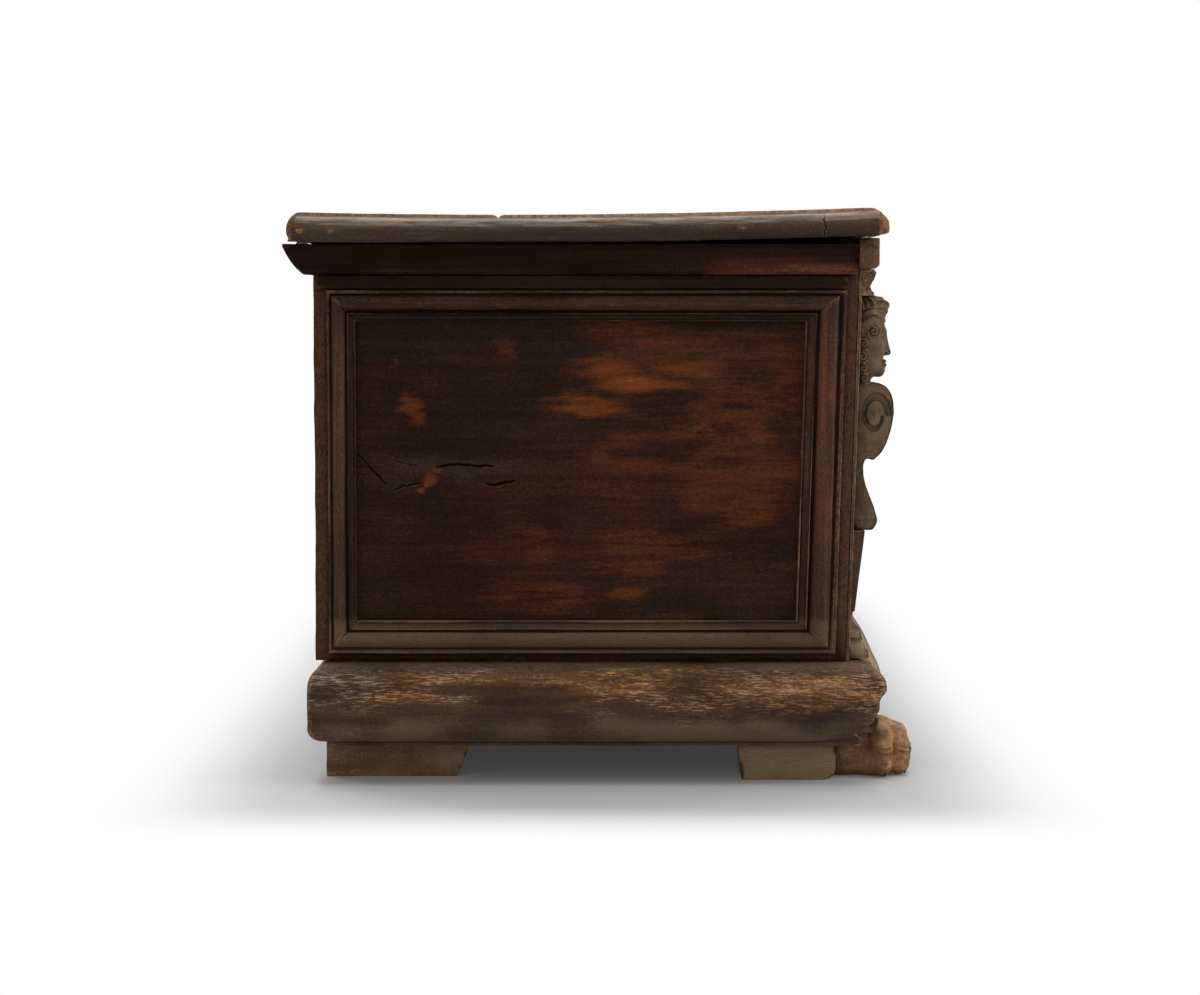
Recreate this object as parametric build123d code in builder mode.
"""Walnut cassone: a low Italian chest on a torus base, with herm pilasters and lion-paw feet.

X runs along the chest, the front faces -Y and Z is up. Z = 0 is the floor under the feet, and
X = Y = 0 is the middle of the whole chest's box. Lengths are millimetres, angles degrees.
"""

import os
from math import asin, cos, degrees, radians, sin, sqrt, tan

from build123d import *

os.makedirs("parts", exist_ok=True)

# ---------------------------------------------------------------- case
CASE_LENGTH = 1560.0  # over the outer faces of the two end boards
CASE_DEPTH = 534.5  # back face to front face, where the case stands on its base
FRONT_LEAN = 1.63  # the front leans out towards the top
END_THICK = 25.0
FRONT_THICK = 20.0
BACK_THICK = 20.0
CASE_HEIGHT = 418.0

# ---------------------------------------------------------------- base and feet
FOOT_HEIGHT = 36.0
BASE_HEIGHT = 85.0
BASE_END_REACH = 33.0  # how far the torus stands out of the case: ends, front, back
BASE_FRONT_REACH = 35.5
BASE_BACK_REACH = 4.5
BASE_LEDGE = 24.0  # shelf that carries the floor boards
FLOOR_THICK = 16.0
FLOOR_GAP = 0.3
REAR_FOOT_LENGTH = 132.0
FRONT_FOOT_LENGTH = 97.0
FOOT_WIDTH = 50.0
REAR_FOOT_INSET = 22.0  # in from the end board's face
REAR_FOOT_BACK_INSET = 11.0
REAR_FOOT_SPLAY = 15.0  # the inner end is longer at the top
FRONT_FOOT_SPLAY = 4.0
FOOT_CHAMFER = 1.5

# ---------------------------------------------------------------- lion paws
PAW_REACH = 73.0  # in front of the case's front face
PAW_RADIUS = 43.0
PAW_INSET = 48.0  # the paw's axis, in from the end board's face
PAW_PAD_HEIGHT = 16.0
TOE_RADIUS = 11.0
TOE_ANGLES = (-72.0, -24.0, 24.0, 72.0)

# ---------------------------------------------------------------- frame mouldings
MOULDING_TOP = 32.0  # widths of the four members of a frame
MOULDING_BOTTOM = 34.0
MOULDING_SIDE = 29.0
MOULDING_FRONT_SIDE = 42.0
FRAME_BOTTOM_MARGIN = 8.0  # bare board between base and frame
FRAME_BACK_MARGIN = 14.5  # bare edge of the back board beside the end's frame
FRAME_FRONT_MARGIN = 11.0  # bare edge of the front board beside the end's frame
FRIEZE_HEIGHT = 14.5
FRIEZE_RISE = 8.0
FRIEZE_BACK_INSET = 5.0
FRIEZE_CHAMFER = 2.0
CENTRE_STILE = 64.0

# ---------------------------------------------------------------- cornice
CORNICE_HEIGHT = 31.0
CORNICE_REACH = 27.0
FASCIA_HEIGHT = 25.0
FASCIA_REACH = 28.7  # in front of the front face at the case's foot
FASCIA_END_THICK = 19.7
FASCIA_GROOVE = 3.0
FASCIA_CLEARANCE = 1.4  # under the lid, at the fascia's inner edge

# ---------------------------------------------------------------- pilasters and herms
PILASTER_WIDTH = 88.0
PILASTER_THICK = 4.0
WEDGE_TOP = 130.0  # heights over the base
WEDGE_BOTTOM = 48.0
WEDGE_TOP_RISE = 13.0
WEDGE_BOTTOM_RISE = 5.5
WEDGE_WIDTH = 60.0
WEDGE_TAPER = 8.0
CAPITAL_HEIGHT = 26.5
CAPITAL_OVERHANG = 3.0
CAPITAL_NECK_SET = 8.0  # how far the neck of the capital is cut in
HERM_WIDTH = 54.0
SCROLL_REACH = 50.0  # in front of the front face at the case's foot
SCROLL_HEIGHT = 82.0
SCROLL_EYE_RADIUS = 12.0
SCROLL_EYE_RISE = 2.5
SCROLL_EYE_REACH = 33.5
SCROLL_GROOVE_RADIUS = 21.0
SCROLL_GROOVE_WIDTH = 3.0
SHAFT_REACH = 24.0  # the sheath under the scroll, where it is thinnest
SHAFT_FOOT_REACH = 34.5
HEAD_GAP = 0.5  # under the capital
HEAD_SET = 3.0  # the chin over the scroll
HEAD_WIDTH = 54.0
HEAD_HEIGHT = 83.0
HEAD_REACH = 19.0
NECK_RADIUS = 13.0
HAIR_THICK = 3.0
LOCK_OF_HAIR = 7.0  # radius of the hair that hangs behind each ear
VOLUTE_SHOULDER = 8.0  # how far the scroll's back dips under its top
LEAF_HEIGHT = 45.0
LEAF_WIDTH = 78.0
LEAF_REACH = 41.0
LEAF_DROP = 20.0  # how far the leaf's tips hang down over the torus
LEAF_LOBES = 3
LOBE_SWELL = 4.0

# ---------------------------------------------------------------- lid
LID_THICK = 28.0
LID_GAP = 1.0
CUP_RADIUS = 9000.0  # the boards have cupped upwards at both edges
CUP_LOW = 194.0  # lowest line of the lid, in front of the case's back face
LID_END_REACH = 45.0  # lid over the end boards, end mouldings included
LID_MOULDING_THICK = 20.0
LID_BOARD_PROUD = 3.0
LID_FRONT_REACH = 40.0  # nose of the lid, in front of the front face at the case's foot
LID_BACK_REACH = 23.5
LID_NOSE = 11.0
LID_MOULDING_BACK_LEAN = 10.0  # their back ends lean in towards the top
LID_MOULDING_FRONT_INSET = 13.0
LID_MOULDING_SHOULDER = 5.0
LID_MOULDING_FOOT = 4.0
LID_BACK_BOARD = 210.0
NOSE_SET = 5.0  # where the rounded edges meet the lid's bottom and top, in from the edge
NOSE_TOP_SET = 18.0
BACK_NOSE_TOP_SET = 13.0
BACK_NOSE_SET = 2.5
BATTEN_WIDTH = 60.0
BATTEN_THICK = 22.0
BATTEN_INSET = 380.0  # in from the end board's face
BATTEN_CLEARANCE = 12.0

# ---------------------------------------------------------------- ironwork
HINGE_INSET = 220.0  # in from the end board's face
HINGE_WIDTH = 30.0
HINGE_THICK = 2.5
HINGE_SEAT = 0.5  # knuckle behind the cornice's edge
KNUCKLE_RADIUS = 6.0
PIN_RADIUS = 3.0
PIN_CLEARANCE = 0.06
PIN_HEAD = 1.2
KNUCKLE_GAP = 0.4
STRAP_LENGTH = 260.0
LEAF_PLATE_DROP = 90.0
LOCK_LENGTH = 120.0
LOCK_HEIGHT = 80.0
LOCK_DEPTH = 26.0
LOCK_WALL = 3.0
LOCK_DROP = 3.0  # top of the lock case under the top of the case
LOCK_CORNER = 4.0
LOCK_GUIDE_THICK = 4.0
LOCK_GUIDE_INSET = 6.0
BOLT_STANDOFF = 3.0  # drawn bolt to staple
BOLT_TIP_CHAMFER = 1.0
BOLT_WIDTH = 6.0
BOLT_HEIGHT = 7.0
BOLT_LENGTH = 48.0
BOLT_CLEARANCE = 0.3
STAPLE_THICK = 6.0
STAPLE_DEPTH = 18.0
STAPLE_BAR = 4.0
STAPLE_LENGTH = 34.0
STAPLE_PLATE = 2.5
STAPLE_CLEARANCE = 1.0
KEYHOLE_RADIUS = 5.5
KEYHOLE_SLOT = 6.0
KEYHOLE_DROP = 14.0
KEYHOLE_OVER_LOCK_FOOT = 18.0

# ---------------------------------------------------------------- derived places
HALF = CASE_LENGTH / 2
CASE_BOTTOM = FOOT_HEIGHT + BASE_HEIGHT
CASE_TOP = CASE_BOTTOM + CASE_HEIGHT
HINGE_REACH = CORNICE_REACH + HINGE_SEAT + 2 * KNUCKLE_RADIUS
BACK_Y = (CASE_DEPTH + PAW_REACH + HINGE_REACH) / 2 - HINGE_REACH
FRONT_Y = BACK_Y - CASE_DEPTH
LEAN_SHARE = tan(radians(FRONT_LEAN))
FRONT_NORMAL = Vector(0, -cos(radians(FRONT_LEAN)), -sin(radians(FRONT_LEAN)))
INNER_X = HALF - END_THICK
BACK_INNER_Y = BACK_Y - BACK_THICK
CORNICE_BOTTOM = CASE_TOP - CORNICE_HEIGHT
FASCIA_BOTTOM = CASE_TOP - FASCIA_HEIGHT
FRAME_BOTTOM = CASE_BOTTOM + FRAME_BOTTOM_MARGIN
FRAME_TOP = CORNICE_BOTTOM - FRIEZE_HEIGHT
LID_LOW = CASE_TOP + LID_GAP
CUP_Y = BACK_Y - CUP_LOW
CUP_Z = LID_LOW + CUP_RADIUS
PIN_Y = BACK_Y + CORNICE_REACH + HINGE_SEAT + KNUCKLE_RADIUS
HINGE_X = HALF - HINGE_INSET
BATTEN_X = HALF - BATTEN_INSET
CUT = 1000.0  # longer than any piece that a cutting solid has to pass
RIGHT_SIDE = Plane.YZ


def front_y(z):
    """Y of the leaning front face at height z."""
    return FRONT_Y - (z - CASE_BOTTOM) * LEAN_SHARE


def cup_z(y, rise=0.0):
    """Height of the lid's cupped underside at y, or of the line that lies rise above it."""
    return CUP_Z - sqrt((CUP_RADIUS - rise) ** 2 - (y - CUP_Y) ** 2)


PIN_Z = cup_z(PIN_Y) - HINGE_THICK / 2


def save(label, shape):
    """Names one finished piece and writes its STEP file."""
    shape.label = label
    export_step(shape, f"parts/{label}.step")


def save_pair(stem, left):
    """Writes a piece of the left end and its mirror image at the right end."""
    save(f"{stem}_left", left)
    with BuildPart() as right:
        mirror(left, about=RIGHT_SIDE)
    save(f"{stem}_right", right.part)


def board(side_outline, x_from, x_to):
    """A board with one outline in Y and Z along its whole length in X."""
    with BuildPart() as plank:
        with BuildSketch(Plane.YZ.offset(x_from)):
            with BuildLine():
                Polyline(*side_outline, close=True)
            make_face()
        extrude(amount=x_to - x_from)
    return plank.part


def mitred_member(start, end, up, outline, width):
    """A moulding cut to length by two mitre faces, each given by its outer and its inner corner.

    The outline's curves are (distance from the outer edge, height along up) for a member of
    the given width, and are stretched to the member's own width.
    """
    run = end[0] - start[0]
    along = run.normalized()
    diagonal = start[1] - start[0]
    across = diagonal - along * diagonal.dot(along)
    stretch = across.length / width
    middle_point = (start[0] + end[0]) * 0.5
    with BuildPart() as member:
        with BuildSketch(Plane(origin=middle_point, x_dir=across, z_dir=across.cross(up))):
            with BuildLine():
                for curve in outline:
                    points = [(distance * stretch, height) for distance, height in curve]
                    if len(points) == 2:
                        Line(*points)
                    else:
                        ThreePointArc(*points)
            make_face()
        extrude(amount=run.length / 2 + width, both=True)
        for outer, inner in (start, end):
            mitre_normal = (inner - outer).cross(up)
            if (middle_point - outer).dot(mitre_normal) < 0:
                mitre_normal = -mitre_normal
            split(bisect_by=Plane(origin=outer, x_dir=inner - outer, z_dir=mitre_normal))
    return member.part


# ---------------------------------------------------------------- moulding outlines
FRAME_WIDTH = 33.0
FRAME_OUTLINE = (
    ((0, 0), (0, 9)),
    ((0, 9), (3.5, 10)),
    ((3.5, 10), (4.5, 8.5)),
    ((4.5, 8.5), (7, 14), (12, 16)),
    ((12, 16), (19, 13.5), (22, 8)),
    ((22, 8), (24, 8)),
    ((24, 8), (26.5, 4.9), (30.5, 4)),
    ((30.5, 4), (31.2, 5)),
    ((31.2, 5), (33, 4.5)),
    ((33, 4.5), (33, 0)),
    ((33, 0), (0, 0)),
)
BASE_WIDTH = BASE_END_REACH + END_THICK + BASE_LEDGE
BASE_SHELF = BASE_END_REACH + END_THICK
PLINTH_SET = 21.0
BASE_OUTLINE = (
    ((PLINTH_SET, 0), (PLINTH_SET, 7)),
    ((PLINTH_SET, 7), (6.5, 11.5), (0, 26)),
    ((0, 26), (0, 51)),
    ((0, 51), (6, 74), (PLINTH_SET, BASE_HEIGHT)),
    ((PLINTH_SET, BASE_HEIGHT), (BASE_SHELF, BASE_HEIGHT)),
    ((BASE_SHELF, BASE_HEIGHT), (BASE_SHELF, BASE_HEIGHT - FLOOR_THICK)),
    ((BASE_SHELF, BASE_HEIGHT - FLOOR_THICK), (BASE_WIDTH, BASE_HEIGHT - FLOOR_THICK)),
    ((BASE_WIDTH, BASE_HEIGHT - FLOOR_THICK), (BASE_WIDTH, 0)),
    ((BASE_WIDTH, 0), (PLINTH_SET, 0)),
)
CORNICE_LIP = 2.0
CORNICE_HOLLOW = (5.0, 17.5)
CORNICE_ARRIS = (11.5, 7.5)
CORNICE_FOOT = (18.5, 0.5)
CORNICE_OUTLINE = (
    ((CORNICE_REACH, 0), (CORNICE_REACH, CORNICE_HEIGHT)),
    ((CORNICE_REACH, CORNICE_HEIGHT), (0, CORNICE_HEIGHT)),
    ((0, CORNICE_HEIGHT), (0, CORNICE_HEIGHT - CORNICE_LIP)),
    ((0, CORNICE_HEIGHT - CORNICE_LIP), CORNICE_HOLLOW, CORNICE_ARRIS),
    (CORNICE_ARRIS, CORNICE_FOOT),
    (CORNICE_FOOT, (CORNICE_REACH, 0)),
)


# ---------------------------------------------------------------- case boards
front_outline = [
    (front_y(CASE_BOTTOM), CASE_BOTTOM),
    (front_y(FASCIA_BOTTOM), FASCIA_BOTTOM),
    (front_y(FASCIA_BOTTOM) + FRONT_THICK, FASCIA_BOTTOM),
    (front_y(CASE_BOTTOM) + FRONT_THICK, CASE_BOTTOM),
]
LOCK_FOOT = CASE_TOP - LOCK_DROP - LOCK_HEIGHT
KEYHOLE_Z = LOCK_FOOT + KEYHOLE_OVER_LOCK_FOOT
with BuildPart() as front_board:
    add(board(front_outline, -HALF, HALF))
    with BuildSketch(Plane.XZ):
        with Locations((0, KEYHOLE_Z)):
            Circle(KEYHOLE_RADIUS)
        with Locations((0, KEYHOLE_Z - KEYHOLE_DROP / 2)):
            Rectangle(KEYHOLE_SLOT, KEYHOLE_DROP)
    extrude(amount=CUT, both=True, mode=Mode.SUBTRACT)
save("front_board", front_board.part)

back_outline = [
    (BACK_INNER_Y, CASE_BOTTOM),
    (BACK_Y, CASE_BOTTOM),
    (BACK_Y, CASE_TOP),
    (BACK_INNER_Y, CASE_TOP),
]
save("back_board", board(back_outline, -HALF, HALF))

TOP_INNER_Y = front_y(CASE_TOP) + FRONT_THICK
end_outline = [
    (front_y(CASE_BOTTOM) + FRONT_THICK, CASE_BOTTOM),
    (BACK_INNER_Y, CASE_BOTTOM),
    (BACK_INNER_Y, CASE_TOP),
    (TOP_INNER_Y, CASE_TOP),
]
save_pair("end_board", board(end_outline, -HALF, -INNER_X))

BASE_FRONT_Y = FRONT_Y - BASE_FRONT_REACH
BASE_BACK_Y = BACK_Y + BASE_BACK_REACH
floor_front_y = BASE_FRONT_Y + BASE_SHELF + FLOOR_GAP
floor_back_y = BASE_BACK_Y - BASE_SHELF - FLOOR_GAP
floor_middle_y = (floor_front_y + floor_back_y) / 2
for label, low_y, high_y in (
    ("floor_board_front", floor_front_y, floor_middle_y - FLOOR_GAP / 2),
    ("floor_board_back", floor_middle_y + FLOOR_GAP / 2, floor_back_y),
):
    floor_outline = [
        (low_y, CASE_BOTTOM - FLOOR_THICK),
        (high_y, CASE_BOTTOM - FLOOR_THICK),
        (high_y, CASE_BOTTOM),
        (low_y, CASE_BOTTOM),
    ]
    save(label, board(floor_outline, -INNER_X + FLOOR_GAP, INNER_X - FLOOR_GAP))


# ---------------------------------------------------------------- base, four mitred members
def ring_corners(half_x, front, back, z, width):
    """Outer and inner corners of a mitred ring, counted round from front left."""
    outer = ((-half_x, front), (half_x, front), (half_x, back), (-half_x, back))
    inward = ((1, 1), (-1, 1), (-1, -1), (1, -1))
    return [
        (Vector(x, y, z), Vector(x + sx * width, y + sy * width, z))
        for (x, y), (sx, sy) in zip(outer, inward)
    ]


UP = Vector(0, 0, 1)
base_corners = ring_corners(
    HALF + BASE_END_REACH, BASE_FRONT_Y, BASE_BACK_Y, FOOT_HEIGHT, BASE_WIDTH
)
base_members = {}
for index, side in enumerate(("front", "right", "back", "left")):
    base_members[side] = mitred_member(
        base_corners[index], base_corners[(index + 1) % 4], UP, BASE_OUTLINE, BASE_WIDTH
    )
    save(f"base_torus_{side}", base_members[side])


# ---------------------------------------------------------------- cornice and fascia
CORNICE_SIDE_X = HALF + CORNICE_REACH
FASCIA_FRONT_Y = FRONT_Y - FASCIA_REACH
FASCIA_END_BACK_Y = FASCIA_FRONT_Y + FASCIA_END_THICK
cornice_corners = ring_corners(
    CORNICE_SIDE_X, BASE_FRONT_Y, BACK_Y + CORNICE_REACH, CORNICE_BOTTOM, CORNICE_REACH
)
save(
    "cornice_back",
    mitred_member(cornice_corners[2], cornice_corners[3], UP, CORNICE_OUTLINE, CORNICE_REACH),
)
square_end = (
    Vector(-CORNICE_SIDE_X, FASCIA_END_BACK_Y, CORNICE_BOTTOM),
    Vector(-HALF, FASCIA_END_BACK_Y, CORNICE_BOTTOM),
)
save_pair(
    "cornice",
    mitred_member(cornice_corners[3], square_end, UP, CORNICE_OUTLINE, CORNICE_REACH),
)

fascia_top = cup_z(TOP_INNER_Y) - FASCIA_CLEARANCE
with BuildPart() as cornice_front:
    with BuildSketch(Plane.YZ.offset(-CORNICE_SIDE_X)):
        with BuildLine():
            Polyline(
                (FASCIA_FRONT_Y, FASCIA_BOTTOM + FASCIA_GROOVE),
                (FASCIA_FRONT_Y, fascia_top),
                (TOP_INNER_Y, fascia_top),
                (TOP_INNER_Y, FASCIA_BOTTOM),
                (FASCIA_FRONT_Y + FASCIA_GROOVE, FASCIA_BOTTOM),
                close=True,
            )
        make_face()
    extrude(amount=2 * CORNICE_SIDE_X)
    with Locations(
        (-CORNICE_SIDE_X, FASCIA_END_BACK_Y, FASCIA_BOTTOM),
        (CORNICE_SIDE_X, FASCIA_END_BACK_Y, FASCIA_BOTTOM),
    ):
        Box(
            2 * CORNICE_REACH,
            FASCIA_END_THICK + END_THICK,
            2 * CASE_HEIGHT,
            align=(Align.CENTER, Align.MIN, Align.CENTER),
            mode=Mode.SUBTRACT,
        )
save("cornice_front", cornice_front.part)


# ---------------------------------------------------------------- friezes under the cornice
frieze_front_y = front_y(FRAME_TOP) + FRAME_FRONT_MARGIN
with BuildPart() as frieze:
    with BuildSketch(Plane.YZ.offset(-HALF)):
        with BuildLine():
            Polyline(
                (frieze_front_y, FRAME_TOP),
                (BACK_Y - FRIEZE_BACK_INSET, FRAME_TOP),
                (BACK_Y - FRIEZE_BACK_INSET, CORNICE_BOTTOM),
                (frieze_front_y, CORNICE_BOTTOM),
                close=True,
            )
        make_face()
    extrude(amount=-FRIEZE_RISE)
    chamfer(frieze.edges().filter_by(Axis.Y).group_by(Axis.X)[0].sort_by(Axis.Z)[0], FRIEZE_CHAMFER)
save_pair("end_frieze", frieze.part)

PILASTER_INNER_X = HALF - PILASTER_WIDTH
front_frieze_outline = [
    (front_y(FRAME_TOP), FRAME_TOP),
    (front_y(FASCIA_BOTTOM), FASCIA_BOTTOM),
    (front_y(FASCIA_BOTTOM) - FRIEZE_RISE, FASCIA_BOTTOM),
    (front_y(FRAME_TOP) - FRIEZE_RISE, FRAME_TOP),
]
save("front_frieze", board(front_frieze_outline, -PILASTER_INNER_X, PILASTER_INNER_X))


# ---------------------------------------------------------------- frames of the end panels
def frame_members(outer, inner, up):
    """Four mitred members of one frame; corners run bottom left, bottom right, top right, top left."""
    corners = list(zip(outer, inner))
    return [
        mitred_member(corners[index], corners[(index + 1) % 4], up, FRAME_OUTLINE, FRAME_WIDTH)
        for index in range(4)
    ]


frame_low, frame_high = FRAME_BOTTOM, FRAME_TOP
inner_low, inner_high = FRAME_BOTTOM + MOULDING_BOTTOM, FRAME_TOP - MOULDING_TOP
frame_back_y = BACK_Y - FRAME_BACK_MARGIN
end_outer = (
    Vector(-HALF, frame_back_y, frame_low),
    Vector(-HALF, front_y(frame_low) + FRAME_FRONT_MARGIN, frame_low),
    Vector(-HALF, front_y(frame_high) + FRAME_FRONT_MARGIN, frame_high),
    Vector(-HALF, frame_back_y, frame_high),
)
panel_front = FRAME_FRONT_MARGIN + MOULDING_FRONT_SIDE
end_inner = (
    Vector(-HALF, frame_back_y - MOULDING_SIDE, inner_low),
    Vector(-HALF, front_y(inner_low) + panel_front, inner_low),
    Vector(-HALF, front_y(inner_high) + panel_front, inner_high),
    Vector(-HALF, frame_back_y - MOULDING_SIDE, inner_high),
)
for side, member in zip(
    ("bottom", "front", "top", "back"), frame_members(end_outer, end_inner, Vector(-1, 0, 0))
):
    save_pair(f"end_moulding_{side}", member)


# ---------------------------------------------------------------- frames of the front panels
def front_point(x, z):
    return Vector(x, front_y(z), z)


panel_outer_x = (-PILASTER_INNER_X, -CENTRE_STILE / 2)
panel_inner_x = (panel_outer_x[0] + MOULDING_TOP, panel_outer_x[1] - MOULDING_TOP)
front_outer = (
    front_point(panel_outer_x[0], frame_low),
    front_point(panel_outer_x[1], frame_low),
    front_point(panel_outer_x[1], frame_high),
    front_point(panel_outer_x[0], frame_high),
)
front_inner = (
    front_point(panel_inner_x[0], inner_low),
    front_point(panel_inner_x[1], inner_low),
    front_point(panel_inner_x[1], inner_high),
    front_point(panel_inner_x[0], inner_high),
)
for side, member in zip(
    ("bottom", "inner", "top", "outer"), frame_members(front_outer, front_inner, FRONT_NORMAL)
):
    save_pair(f"front_moulding_{side}", member)


# ---------------------------------------------------------------- pilasters
PILASTER_TOP = FASCIA_BOTTOM - CAPITAL_HEIGHT
HERM_X = -HALF + PILASTER_WIDTH / 2


def pilaster_y(z, rise=0.0):
    """Y of the pilaster's face at height z, or of what stands rise proud of it."""
    return front_y(z) - PILASTER_THICK - rise


with BuildPart() as pilaster:
    with BuildSketch(Plane.YZ.offset(-HALF)):
        with BuildLine():
            Polyline(
                (front_y(CASE_BOTTOM), CASE_BOTTOM),
                (front_y(PILASTER_TOP), PILASTER_TOP),
                (pilaster_y(PILASTER_TOP), PILASTER_TOP),
                (pilaster_y(CASE_BOTTOM), CASE_BOTTOM),
                close=True,
            )
        make_face()
    extrude(amount=PILASTER_WIDTH)
    for height, rise, width in (
        (WEDGE_BOTTOM, WEDGE_BOTTOM_RISE, WEDGE_WIDTH - WEDGE_TAPER),
        (WEDGE_TOP, WEDGE_TOP_RISE, WEDGE_WIDTH),
    ):
        z = CASE_BOTTOM + height
        with BuildSketch(Plane.XY.offset(z)):
            with Locations((HERM_X, pilaster_y(z, rise))):
                Rectangle(width, rise + PILASTER_THICK / 2, align=(Align.CENTER, Align.MIN))
    loft(ruled=True)
save_pair("pilaster", pilaster.part)

with BuildPart() as capital:
    for height, cut_in in (
        (0.0, CAPITAL_NECK_SET * 0.8),
        (4.0, CAPITAL_NECK_SET * 0.75),
        (9.5, CAPITAL_NECK_SET),
        (15.0, CAPITAL_NECK_SET * 0.55),
        (20.0, CAPITAL_NECK_SET * 0.2),
        (CAPITAL_HEIGHT, 0.0),
    ):
        reach = CAPITAL_OVERHANG - cut_in
        with BuildSketch(Plane.XY.offset(PILASTER_TOP + height)):
            with Locations((HERM_X, FASCIA_FRONT_Y - reach)):
                Rectangle(
                    PILASTER_WIDTH + 2 * min(reach, 0.0),
                    2 * FASCIA_REACH,
                    align=(Align.CENTER, Align.MIN),
                )
    loft(ruled=True)
    add(front_board.part, mode=Mode.SUBTRACT)
    with Locations((HERM_X, front_y(PILASTER_TOP) + FRONT_THICK / 2, PILASTER_TOP)):
        Box(
            2 * PILASTER_WIDTH,
            CUT,
            2 * CAPITAL_HEIGHT + 1,
            align=(Align.CENTER, Align.MIN, Align.CENTER),
            mode=Mode.SUBTRACT,
        )
save_pair("capital", capital.part)


# ---------------------------------------------------------------- herms
def herm_point(reach, height):
    """(Y, Z) of a point of a herm, reach in front of the front's foot, height over the base."""
    return (FRONT_Y - reach, CASE_BOTTOM + height)


HERM_BACK = PILASTER_THICK / 2
SHAFT_FOOT = WEDGE_TOP
HEAD_FOOT = PILASTER_TOP - CASE_BOTTOM - HEAD_GAP - HEAD_HEIGHT
SCROLL_TOP = HEAD_FOOT - HEAD_SET
SCROLL_BOTTOM = SCROLL_TOP - SCROLL_HEIGHT
scroll_back = herm_point(HERM_BACK, SCROLL_TOP - VOLUTE_SHOULDER)
scroll_brow = herm_point(0.86 * SCROLL_REACH, SCROLL_TOP - 0.06 * SCROLL_HEIGHT)
scroll_chin = herm_point(0.88 * SCROLL_REACH, SCROLL_BOTTOM + 0.18 * SCROLL_HEIGHT)
sheath_top = herm_point(SHAFT_REACH, SCROLL_BOTTOM)
sheath_foot = herm_point(SHAFT_FOOT_REACH, SHAFT_FOOT + 0.1 * (SCROLL_BOTTOM - SHAFT_FOOT))
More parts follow.
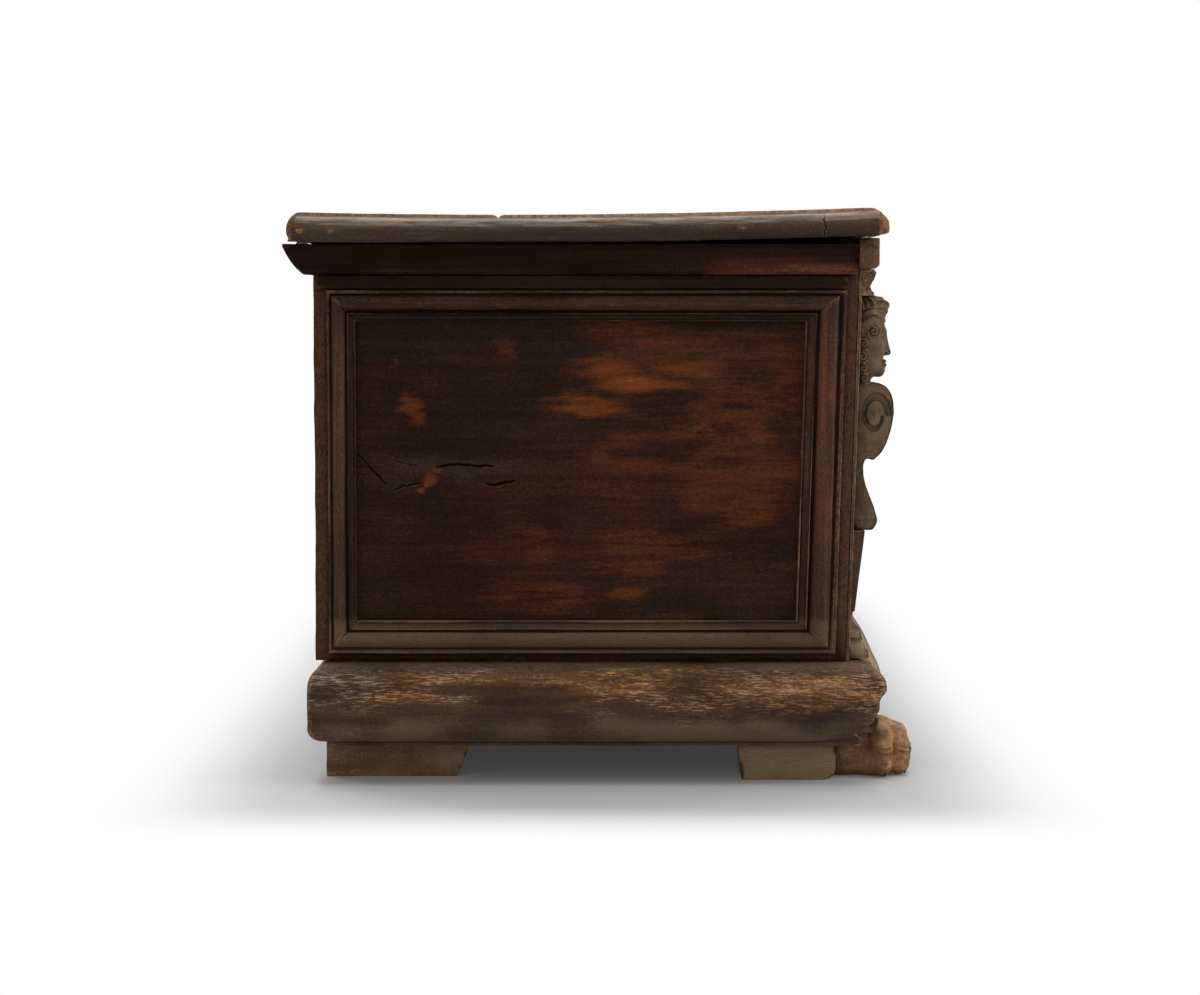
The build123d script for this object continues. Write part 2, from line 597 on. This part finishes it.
with BuildPart() as herm:
    with BuildSketch(Plane.YZ.offset(HERM_X - HERM_WIDTH / 2)):
        with BuildLine():
            ThreePointArc(
                scroll_back,
                herm_point(0.55 * SCROLL_REACH, SCROLL_TOP),
                scroll_brow,
            )
            ThreePointArc(
                scroll_brow,
                herm_point(SCROLL_REACH, SCROLL_TOP - 0.41 * SCROLL_HEIGHT),
                scroll_chin,
            )
            ThreePointArc(
                scroll_chin,
                herm_point(0.72 * SCROLL_REACH, SCROLL_BOTTOM + 0.04 * SCROLL_HEIGHT),
                sheath_top,
            )
            ThreePointArc(
                sheath_top,
                herm_point(SHAFT_REACH + 3, (2 * SCROLL_BOTTOM + 1.5 * SHAFT_FOOT) / 3.5),
                sheath_foot,
            )
            Polyline(
                sheath_foot,
                herm_point(SHAFT_FOOT_REACH - 2, SHAFT_FOOT),
                herm_point(HERM_BACK, SHAFT_FOOT),
                scroll_back,
            )
        make_face()
    extrude(amount=HERM_WIDTH)

    # the eye and the groove of the volute, on both cheeks
    eye_y, eye_z = herm_point(SCROLL_EYE_REACH, SCROLL_TOP - 0.43 * SCROLL_HEIGHT)
    for side in (-1, 1):
        cheek = Plane(
            origin=(HERM_X + side * HERM_WIDTH / 2, eye_y, eye_z), x_dir=(0, 1, 0), z_dir=(side, 0, 0)
        )
        with BuildSketch(cheek):
            Circle(SCROLL_GROOVE_RADIUS)
            Circle(SCROLL_GROOVE_RADIUS - SCROLL_GROOVE_WIDTH, mode=Mode.SUBTRACT)
            with Locations((SCROLL_EYE_REACH, 0)):
                Rectangle(SCROLL_EYE_REACH, CUT, mode=Mode.SUBTRACT)
        extrude(amount=-SCROLL_GROOVE_WIDTH / 2, mode=Mode.SUBTRACT)
        with BuildSketch(cheek):
            Circle(SCROLL_EYE_RADIUS)
        extrude(amount=SCROLL_EYE_RISE, taper=30)

    # the head, egg shaped, under a cap of hair that stands out at the brow
    head_y, head_foot = herm_point(HEAD_REACH, HEAD_FOOT)
    head_radius = HEAD_WIDTH / 2
    jaw_radius = 0.85 * head_radius
    hairline = 0.62 * HEAD_HEIGHT
    jaw_top = 0.34 * HEAD_HEIGHT
    with BuildSketch(Plane(origin=(HERM_X, head_y, head_foot), x_dir=(1, 0, 0), z_dir=(0, -1, 0))):
        with BuildLine():
            Line((0, 0), (0.25 * jaw_radius, 0))
            ThreePointArc(
                (0.25 * jaw_radius, 0), (0.75 * jaw_radius, 0.1 * HEAD_HEIGHT), (jaw_radius, jaw_top)
            )
            ThreePointArc(
                (jaw_radius, jaw_top),
                (head_radius - HAIR_THICK, 0.5 * HEAD_HEIGHT),
                (head_radius - HAIR_THICK, hairline),
            )
            Line((head_radius - HAIR_THICK, hairline), (head_radius, hairline + HAIR_THICK))
            ThreePointArc(
                (head_radius, hairline + HAIR_THICK),
                (0.8 * head_radius, 0.87 * HEAD_HEIGHT),
                (0.4 * head_radius, HEAD_HEIGHT),
            )
            Polyline((0.4 * head_radius, HEAD_HEIGHT), (0, HEAD_HEIGHT), (0, 0))
        make_face()
    revolve(axis=Axis((HERM_X, head_y, 0), (0, 0, 1)))
    with BuildSketch(Plane.XY.offset(CASE_BOTTOM + SCROLL_TOP - NECK_RADIUS)):
        with Locations((HERM_X, head_y + NECK_RADIUS / 3)):
            Circle(NECK_RADIUS)
    extrude(amount=HEAD_HEIGHT / 2)
    for side in (-1, 1):
        with BuildSketch(Plane.XY.offset(head_foot + 0.08 * HEAD_HEIGHT)):
            with Locations((HERM_X + side * 0.82 * head_radius, head_y + LOCK_OF_HAIR)):
                Circle(LOCK_OF_HAIR)
        extrude(amount=0.6 * HEAD_HEIGHT)
    split(
        bisect_by=Plane(
            origin=(HERM_X, pilaster_y(CASE_BOTTOM), CASE_BOTTOM), x_dir=(1, 0, 0), z_dir=FRONT_NORMAL
        ),
        keep=Keep.TOP,
    )
    add(capital.part, mode=Mode.SUBTRACT)
save_pair("herm", herm.part)


# ---------------------------------------------------------------- acanthus leaves over the base
LEAF_TIP = -LEAF_DROP
LOBE_STEP = LEAF_WIDTH / (2 * LEAF_LOBES) - LOBE_SWELL / 2
LOBE_RISE = (LEAF_HEIGHT + LEAF_DROP - LOBE_SWELL) / LEAF_LOBES
with BuildPart() as acanthus_leaf:
    with BuildSketch(Plane.YZ.offset(HERM_X - LEAF_WIDTH / 2)):
        with BuildLine():
            ThreePointArc(
                herm_point(HERM_BACK, LEAF_HEIGHT),
                herm_point(0.66 * LEAF_REACH, 0.4 * LEAF_HEIGHT),
                herm_point(LEAF_REACH - 2, LEAF_TIP),
            )
            Polyline(
                herm_point(LEAF_REACH - 2, LEAF_TIP),
                herm_point(HERM_BACK, LEAF_TIP),
                herm_point(HERM_BACK, LEAF_HEIGHT),
            )
        make_face()
    extrude(amount=LEAF_WIDTH)
    with BuildSketch(Plane(origin=(HERM_X, FRONT_Y, CASE_BOTTOM), x_dir=(1, 0, 0), z_dir=(0, -1, 0))):
        with BuildLine():
            for side in (-1, 1):
                for lobe in range(LEAF_LOBES):
                    low = Vector(LEAF_WIDTH / 2 - lobe * LOBE_STEP, LEAF_TIP + lobe * LOBE_RISE)
                    high = low + Vector(-LOBE_STEP, LOBE_RISE)
                    swell = (low + high) * 0.5 + Vector(LOBE_SWELL, LOBE_SWELL)
                    arc = [(side * point.X, point.Y) for point in (low, swell, high)]
                    ThreePointArc(*arc)
            ThreePointArc((-high.X, high.Y), (0, LEAF_HEIGHT), (high.X, high.Y))
            Line((-LEAF_WIDTH / 2, LEAF_TIP), (LEAF_WIDTH / 2, LEAF_TIP))
        make_face()
    extrude(amount=CUT, both=True, mode=Mode.INTERSECT)
    add(base_members["front"], mode=Mode.SUBTRACT)
    add(pilaster.part, mode=Mode.SUBTRACT)
    split(
        bisect_by=Plane(
            origin=(HERM_X, pilaster_y(CASE_BOTTOM), CASE_BOTTOM), x_dir=(1, 0, 0), z_dir=FRONT_NORMAL
        ),
        keep=Keep.TOP,
    )
save_pair("acanthus_leaf", acanthus_leaf.part)


# ---------------------------------------------------------------- feet
rear_back_y = BACK_Y - REAR_FOOT_BACK_INSET
with BuildPart() as rear_foot:
    with BuildSketch(Plane.YZ.offset(-HALF + REAR_FOOT_INSET)):
        with BuildLine():
            Polyline(
                (rear_back_y, 0),
                (rear_back_y, FOOT_HEIGHT),
                (rear_back_y - REAR_FOOT_LENGTH - REAR_FOOT_SPLAY, FOOT_HEIGHT),
                (rear_back_y - REAR_FOOT_LENGTH, 0),
                close=True,
            )
        make_face()
    extrude(amount=FOOT_WIDTH)
    chamfer(rear_foot.edges().filter_by(Axis.Z), FOOT_CHAMFER)
save_pair("rear_foot", rear_foot.part)

TOE_RING = PAW_RADIUS - TOE_RADIUS
PAW_Y = FRONT_Y - PAW_REACH + TOE_RING * cos(radians(min(map(abs, TOE_ANGLES)))) + TOE_RADIUS
ankle_y = PAW_Y + PAW_RADIUS - 2.0
with BuildPart() as front_foot:
    with BuildSketch(Plane.YZ.offset(-HALF)):
        with BuildLine():
            Polyline(
                (ankle_y, 0),
                (ankle_y, FOOT_HEIGHT),
                (ankle_y + FRONT_FOOT_LENGTH + FRONT_FOOT_SPLAY, FOOT_HEIGHT),
                (ankle_y + FRONT_FOOT_LENGTH, 0),
                close=True,
            )
        make_face()
    extrude(amount=FOOT_WIDTH)
save_pair("front_foot", front_foot.part)

# a lion paw: toes are quarter rings set round a domed pad, with an ankle under the base
PAW_X = -HALF + PAW_INSET
DOME_RADIUS = TOE_RING + TOE_RADIUS / 3
DOME_ARC = 70.0  # the dome's top is flat, under the base
with BuildPart() as lion_paw:
    with BuildSketch(Plane.XZ.offset(-PAW_Y)):
        with BuildLine():
            Polyline(
                (PAW_X, 0),
                (PAW_X + TOE_RING, 0),
                (PAW_X + DOME_RADIUS, PAW_PAD_HEIGHT),
            )
            dome = CenterArc((PAW_X, PAW_PAD_HEIGHT), DOME_RADIUS, 0, DOME_ARC)
            Polyline(dome @ 1, (PAW_X, (dome @ 1).Y), (PAW_X, 0))
        make_face()
    revolve(axis=Axis((PAW_X, PAW_Y, 0), (0, 0, 1)))
    for angle in TOE_ANGLES:
        outward = Vector(sin(radians(angle)), -cos(radians(angle)), 0)
        sideways = Vector(cos(radians(angle)), sin(radians(angle)), 0)
        pad_centre = Vector(PAW_X, PAW_Y, PAW_PAD_HEIGHT)
        with BuildSketch(Plane(origin=pad_centre + outward * TOE_RING, x_dir=outward, z_dir=UP)):
            Circle(TOE_RADIUS)
        revolve(axis=Axis(pad_centre, sideways), revolution_arc=-90)
        with BuildSketch(Plane(origin=pad_centre + outward * TOE_RING, x_dir=outward, z_dir=-UP)):
            Circle(TOE_RADIUS)
        extrude(amount=PAW_PAD_HEIGHT, taper=18)
    with BuildSketch(Plane.XY):
        with Locations((PAW_X, ankle_y)):
            Rectangle(2 * PAW_RADIUS - 8, PAW_RADIUS, align=(Align.CENTER, Align.MAX))
    extrude(amount=FOOT_HEIGHT)
    add(base_members["front"], mode=Mode.SUBTRACT)
    add(base_members["left"], mode=Mode.SUBTRACT)
save_pair("lion_paw", lion_paw.part)


# ---------------------------------------------------------------- lid
LID_BACK_Y = BACK_Y + LID_BACK_REACH
LID_FRONT_Y = FRONT_Y - LID_FRONT_REACH
LID_JOINT_Y = LID_BACK_Y - LID_BACK_BOARD
LID_BOARD_X = HALF + LID_END_REACH - LID_MOULDING_THICK


def lid_board(joint_y, edge_y, bottom_set, top_set, nose_rise):
    """A cupped board between the joint and one moulded edge of the lid."""
    inward = 1 if edge_y < joint_y else -1
    bottom_y = edge_y + inward * bottom_set
    top_y = edge_y + inward * top_set
    middle_y = (joint_y + edge_y) / 2
    with BuildPart() as plank:
        with BuildSketch(Plane.YZ.offset(-LID_BOARD_X)):
            with BuildLine():
                ThreePointArc(
                    (joint_y, cup_z(joint_y)), (middle_y, cup_z(middle_y)), (bottom_y, cup_z(bottom_y))
                )
                ThreePointArc(
                    (bottom_y, cup_z(bottom_y)),
                    (edge_y, cup_z(edge_y, nose_rise)),
                    (top_y, cup_z(top_y, LID_THICK)),
                )
                ThreePointArc(
                    (top_y, cup_z(top_y, LID_THICK)),
                    (middle_y, cup_z(middle_y, LID_THICK)),
                    (joint_y, cup_z(joint_y, LID_THICK)),
                )
                Line((joint_y, cup_z(joint_y, LID_THICK)), (joint_y, cup_z(joint_y)))
            make_face()
        extrude(amount=2 * LID_BOARD_X)
    return plank.part


save("lid_board_front", lid_board(LID_JOINT_Y, LID_FRONT_Y, NOSE_SET, NOSE_TOP_SET, LID_NOSE))
save(
    "lid_board_back",
    lid_board(LID_JOINT_Y, LID_BACK_Y, BACK_NOSE_SET, BACK_NOSE_TOP_SET, LID_NOSE),
)


def cup_angle(y):
    """Angle about the cup's axis of the lid's line at y, positive towards the back."""
    return degrees(asin((y - CUP_Y) / CUP_RADIUS))


moulding_start = cup_angle(LID_FRONT_Y + LID_MOULDING_FRONT_INSET)
moulding_end = cup_angle(LID_BACK_Y)
lean = radians(moulding_start)
moulding_height = LID_THICK - LID_BOARD_PROUD
cup_plane = Plane(origin=(0, CUP_Y, CUP_Z), x_dir=(1, 0, 0), z_dir=(0, -cos(lean), -sin(lean)))
inner_x = -LID_BOARD_X
outer_x = -LID_BOARD_X - LID_MOULDING_THICK
low = -CUP_RADIUS
with BuildPart() as lid_moulding:
    with BuildSketch(cup_plane):
        with BuildLine():
            Line((inner_x, low), (inner_x, low + moulding_height))
            ThreePointArc(
                (inner_x, low + moulding_height),
                (outer_x + LID_MOULDING_SHOULDER, low + moulding_height - 0.7 * LID_MOULDING_SHOULDER),
                (outer_x, low + moulding_height / 2),
            )
            ThreePointArc(
                (outer_x, low + moulding_height / 2),
                (outer_x + LID_MOULDING_FOOT / 4, low + LID_MOULDING_FOOT),
                (outer_x + LID_MOULDING_FOOT, low),
            )
            Line((outer_x + LID_MOULDING_FOOT, low), (inner_x, low))
        make_face()
    revolve(
        axis=Axis((0, CUP_Y, CUP_Z), (1, 0, 0)), revolution_arc=moulding_end - moulding_start
    )
    split(
        bisect_by=Plane(
            origin=(inner_x, LID_BACK_Y, cup_z(LID_BACK_Y)),
            x_dir=(1, 0, 0),
            z_dir=(0, moulding_height, LID_MOULDING_BACK_LEAN),
        ),
        keep=Keep.BOTTOM,
    )
save_pair("lid_end_moulding", lid_moulding.part)

batten_front_y = TOP_INNER_Y + LOCK_DEPTH + BATTEN_CLEARANCE
batten_back_y = BACK_INNER_Y - BATTEN_CLEARANCE
batten_middle_y = (batten_front_y + batten_back_y) / 2
with BuildPart() as lid_battens:
    for batten_x in (-BATTEN_X, BATTEN_X):
        with BuildSketch(Plane.YZ.offset(batten_x - BATTEN_WIDTH / 2)):
            with BuildLine():
                ThreePointArc(
                    (batten_front_y, cup_z(batten_front_y)),
                    (batten_middle_y, cup_z(batten_middle_y)),
                    (batten_back_y, cup_z(batten_back_y)),
                )
                Polyline(
                    (batten_back_y, cup_z(batten_back_y)),
                    (batten_back_y, LID_LOW - BATTEN_THICK / 2),
                    (batten_back_y - BATTEN_THICK, LID_LOW - BATTEN_THICK),
                    (batten_front_y + BATTEN_THICK, LID_LOW - BATTEN_THICK),
                    (batten_front_y, LID_LOW - BATTEN_THICK / 2),
                    (batten_front_y, cup_z(batten_front_y)),
                )
            make_face()
        extrude(amount=BATTEN_WIDTH)
save("lid_battens", lid_battens.part)


# ---------------------------------------------------------------- hinges
THIRD = HINGE_WIDTH / 3
BORE_RADIUS = PIN_RADIUS + PIN_CLEARANCE
ROOM_RADIUS = KNUCKLE_RADIUS + KNUCKLE_GAP  # what a barrel of the other leaf turns in
strap_end_y = PIN_Y - STRAP_LENGTH
strap_middle_y = (PIN_Y + strap_end_y) / 2


def barrel(x_from, x_to, radius):
    """A plain round bar about the pin's line."""
    with BuildPart() as bar:
        with BuildSketch(Plane.YZ.offset(x_from)):
            with Locations((PIN_Y, PIN_Z)):
                Circle(radius)
        extrude(amount=x_to - x_from)
    return bar.part


middle = (-HINGE_X - THIRD / 2 + KNUCKLE_GAP / 2, -HINGE_X + THIRD / 2 - KNUCKLE_GAP / 2)
outer_knuckles = (
    (-HINGE_X - HINGE_WIDTH / 2, -HINGE_X - THIRD / 2 - KNUCKLE_GAP / 2),
    (-HINGE_X + THIRD / 2 + KNUCKLE_GAP / 2, -HINGE_X + HINGE_WIDTH / 2),
)
with BuildPart() as hinge_strap:
    with BuildSketch(Plane.YZ.offset(-HINGE_X - HINGE_WIDTH / 2)):
        with BuildLine():
            ThreePointArc(
                (PIN_Y, cup_z(PIN_Y)),
                (strap_middle_y, cup_z(strap_middle_y)),
                (strap_end_y, cup_z(strap_end_y)),
            )
            Line((strap_end_y, cup_z(strap_end_y)), (strap_end_y, cup_z(strap_end_y, -HINGE_THICK)))
            ThreePointArc(
                (strap_end_y, cup_z(strap_end_y, -HINGE_THICK)),
                (strap_middle_y, cup_z(strap_middle_y, -HINGE_THICK)),
                (PIN_Y, cup_z(PIN_Y, -HINGE_THICK)),
            )
            Line((PIN_Y, cup_z(PIN_Y, -HINGE_THICK)), (PIN_Y, cup_z(PIN_Y)))
        make_face()
    extrude(amount=HINGE_WIDTH)
    # the strap tapers and ends in a round, as a smith draws it out
    with BuildSketch(Plane.XY.offset(PIN_Z - CUT / 2)):
        with BuildLine():
            tip_radius = 0.55 * HINGE_WIDTH
            tip_y = strap_end_y + tip_radius
            Polyline(
                (-HINGE_X - 0.3 * HINGE_WIDTH, tip_y + 0.8 * tip_radius),
                (-HINGE_X - 0.5 * HINGE_WIDTH, PIN_Y - 2 * HINGE_WIDTH),
                (-HINGE_X - 0.5 * HINGE_WIDTH, PIN_Y + HINGE_WIDTH),
                (-HINGE_X + 0.5 * HINGE_WIDTH, PIN_Y + HINGE_WIDTH),
                (-HINGE_X + 0.5 * HINGE_WIDTH, PIN_Y - 2 * HINGE_WIDTH),
                (-HINGE_X + 0.3 * HINGE_WIDTH, tip_y + 0.8 * tip_radius),
                close=True,
            )
        make_face()
        with Locations((-HINGE_X, tip_y)):
            Circle(tip_radius)
    extrude(amount=CUT, mode=Mode.INTERSECT)
    for x_from, x_to in outer_knuckles:
        add(barrel(x_from - KNUCKLE_GAP, x_to + KNUCKLE_GAP, ROOM_RADIUS), mode=Mode.SUBTRACT)
    add(barrel(*middle, KNUCKLE_RADIUS))
    add(barrel(-HINGE_X - HINGE_WIDTH / 2, -HINGE_X + HINGE_WIDTH / 2, BORE_RADIUS), mode=Mode.SUBTRACT)
save_pair("hinge_strap", hinge_strap.part)

# the fixed leaf is bent over the cornice's outline and nailed to the back board
def cornice_back_point(distance, height):
    """(Y, Z) of a point of the cornice's outline, where it runs along the back."""
    return (BACK_Y + CORNICE_REACH - distance, CORNICE_BOTTOM + height)


cornice_top = cornice_back_point(0, CORNICE_HEIGHT - CORNICE_LIP)
cornice_hollow = cornice_back_point(*CORNICE_HOLLOW)
cornice_arris = cornice_back_point(*CORNICE_ARRIS)
cornice_foot = cornice_back_point(*CORNICE_FOOT)
leaf_plate_foot = CORNICE_BOTTOM - LEAF_PLATE_DROP
with BuildPart() as hinge_leaf:
    with BuildSketch(Plane.YZ.offset(-HINGE_X - HINGE_WIDTH / 2)):
        with BuildLine():
            ThreePointArc(cornice_top, cornice_hollow, cornice_arris)
            Polyline(
                cornice_arris,
                cornice_foot,
                (BACK_Y, CORNICE_BOTTOM),
                (BACK_Y, leaf_plate_foot),
                (BACK_INNER_Y, leaf_plate_foot),
                (BACK_INNER_Y, cornice_top[1]),
                cornice_top,
            )
        make_face()
        offset(amount=HINGE_THICK, kind=Kind.INTERSECTION)
        with BuildLine():
            ThreePointArc(cornice_top, cornice_hollow, cornice_arris)
            Polyline(
                cornice_arris,
                cornice_foot,
                (BACK_Y, CORNICE_BOTTOM),
                (BACK_Y, CORNICE_BOTTOM - CUT),
                (BACK_Y - CUT, CORNICE_BOTTOM - CUT),
                (BACK_Y - CUT, CASE_TOP + CUT),
                (BACK_Y + CORNICE_REACH, CASE_TOP + CUT),
                cornice_top,
            )
        make_face(mode=Mode.SUBTRACT)
        with Locations((BACK_Y, leaf_plate_foot)):
            Rectangle(CUT, CUT, align=(Align.CENTER, Align.MAX), mode=Mode.SUBTRACT)
        with Locations((BACK_Y, PIN_Z)):
            Rectangle(CUT, CUT, align=(Align.CENTER, Align.MIN), mode=Mode.SUBTRACT)
    extrude(amount=HINGE_WIDTH)
    add(barrel(middle[0] - KNUCKLE_GAP, middle[1] + KNUCKLE_GAP, ROOM_RADIUS), mode=Mode.SUBTRACT)
    for x_from, x_to in outer_knuckles:
        add(barrel(x_from, x_to, KNUCKLE_RADIUS))
    add(barrel(-HINGE_X - HINGE_WIDTH / 2, -HINGE_X + HINGE_WIDTH / 2, BORE_RADIUS), mode=Mode.SUBTRACT)
save_pair("hinge_leaf", hinge_leaf.part)

with BuildPart() as hinge_pins:
    for hinge_x in (-HINGE_X, HINGE_X):
        with BuildSketch(Plane.YZ.offset(hinge_x - HINGE_WIDTH / 2)):
            with Locations((PIN_Y, PIN_Z)):
                Circle(PIN_RADIUS)
        extrude(amount=HINGE_WIDTH)
        for side in (-1, 1):
            head_face = Plane(
                origin=(hinge_x + side * HINGE_WIDTH / 2, PIN_Y, PIN_Z),
                x_dir=(0, 1, 0),
                z_dir=(side, 0, 0),
            )
            with BuildSketch(head_face):
                Circle(PIN_RADIUS + PIN_HEAD)
            extrude(amount=HINGE_THICK, taper=20)
save("hinge_pins", hinge_pins.part)


# ---------------------------------------------------------------- lock
LOCK_TOP = CASE_TOP - LOCK_DROP
lock_inner_y = TOP_INNER_Y + LOCK_DEPTH
staple_y = lock_inner_y - LOCK_WALL - STAPLE_DEPTH / 2 - STAPLE_CLEARANCE
staple_top = cup_z(staple_y + STAPLE_DEPTH / 2)
staple_foot = staple_top - STAPLE_LENGTH
bolt_z = staple_foot + STAPLE_BAR + STAPLE_CLEARANCE + BOLT_HEIGHT / 2
bolt_start = -STAPLE_THICK / 2 - BOLT_STANDOFF - BOLT_LENGTH
with BuildPart() as lock_case:
    with Locations((0, lock_inner_y, LOCK_FOOT)):
        Box(
            LOCK_LENGTH,
            LOCK_DEPTH + FRONT_THICK,
            LOCK_HEIGHT,
            align=(Align.CENTER, Align.MAX, Align.MIN),
        )
    fillet(lock_case.edges().filter_by(Axis.Z).group_by(Axis.Y)[-1], LOCK_CORNER)
    with Locations((0, lock_inner_y - LOCK_WALL, LOCK_FOOT + LOCK_WALL)):
        Box(
            LOCK_LENGTH - 2 * LOCK_WALL,
            LOCK_DEPTH + FRONT_THICK,
            LOCK_HEIGHT - 2 * LOCK_WALL,
            align=(Align.CENTER, Align.MAX, Align.MIN),
            mode=Mode.SUBTRACT,
        )
    with Locations((0, staple_y, LOCK_TOP)):
        Box(
            STAPLE_THICK + 4 * STAPLE_CLEARANCE,
            STAPLE_DEPTH + 2 * STAPLE_CLEARANCE,
            4 * LOCK_WALL,
            mode=Mode.SUBTRACT,
        )
    for guide_x in (bolt_start + LOCK_GUIDE_INSET, bolt_start + BOLT_LENGTH - 2 * LOCK_GUIDE_INSET):
        with Locations((guide_x, lock_inner_y - LOCK_WALL, bolt_z - BOLT_HEIGHT)):
            Box(
                LOCK_GUIDE_THICK,
                LOCK_DEPTH - LOCK_WALL,
                LOCK_TOP - LOCK_WALL - bolt_z + BOLT_HEIGHT,
                align=(Align.MIN, Align.MAX, Align.MIN),
            )
    with Locations((0, staple_y, bolt_z)):
        Box(
            LOCK_LENGTH - 2 * LOCK_WALL,
            BOLT_WIDTH + 2 * BOLT_CLEARANCE,
            BOLT_HEIGHT + 2 * BOLT_CLEARANCE,
            mode=Mode.SUBTRACT,
        )
    add(front_board.part, mode=Mode.SUBTRACT)
    add(cornice_front.part, mode=Mode.SUBTRACT)
    with Locations((0, lock_inner_y - LOCK_DEPTH - LOCK_WALL / 3, 0)):
        Box(CUT, CUT, 4 * CUT, align=(Align.CENTER, Align.MAX, Align.CENTER), mode=Mode.SUBTRACT)
save("lock_case", lock_case.part)

with BuildPart() as lock_bolt:
    with Locations((bolt_start, staple_y, bolt_z)):
        Box(BOLT_LENGTH, BOLT_WIDTH, BOLT_HEIGHT, align=(Align.MIN, Align.CENTER, Align.CENTER))
    chamfer(lock_bolt.faces().sort_by(Axis.X)[-1].edges(), BOLT_TIP_CHAMFER)
save("lock_bolt", lock_bolt.part)

with BuildPart() as lid_staple:
    with BuildSketch(Plane.YZ.offset(-STAPLE_THICK / 2)):
        with Locations((staple_y, staple_foot)):
            Rectangle(STAPLE_DEPTH, STAPLE_LENGTH - STAPLE_PLATE / 2, align=(Align.CENTER, Align.MIN))
        with Locations((staple_y, bolt_z)):
            Rectangle(
                STAPLE_DEPTH - 2 * STAPLE_BAR,
                BOLT_HEIGHT + 2 * STAPLE_CLEARANCE,
                mode=Mode.SUBTRACT,
            )
    extrude(amount=STAPLE_THICK)
    plate_front_y = TOP_INNER_Y + STAPLE_CLEARANCE
    plate_back_y = staple_y + 2 * STAPLE_DEPTH
    with BuildSketch(Plane.YZ.offset(-STAPLE_THICK * 3)):
        with BuildLine():
            Polyline(
                (plate_front_y, cup_z(plate_front_y)),
                (plate_front_y, cup_z(plate_front_y, -STAPLE_PLATE)),
                (plate_back_y, cup_z(plate_back_y, -STAPLE_PLATE)),
                (plate_back_y, cup_z(plate_back_y)),
            )
            ThreePointArc(
                (plate_back_y, cup_z(plate_back_y)),
                (staple_y, cup_z(staple_y)),
                (plate_front_y, cup_z(plate_front_y)),
            )
        make_face()
    extrude(amount=STAPLE_THICK * 6)
save("lid_staple", lid_staple.part)
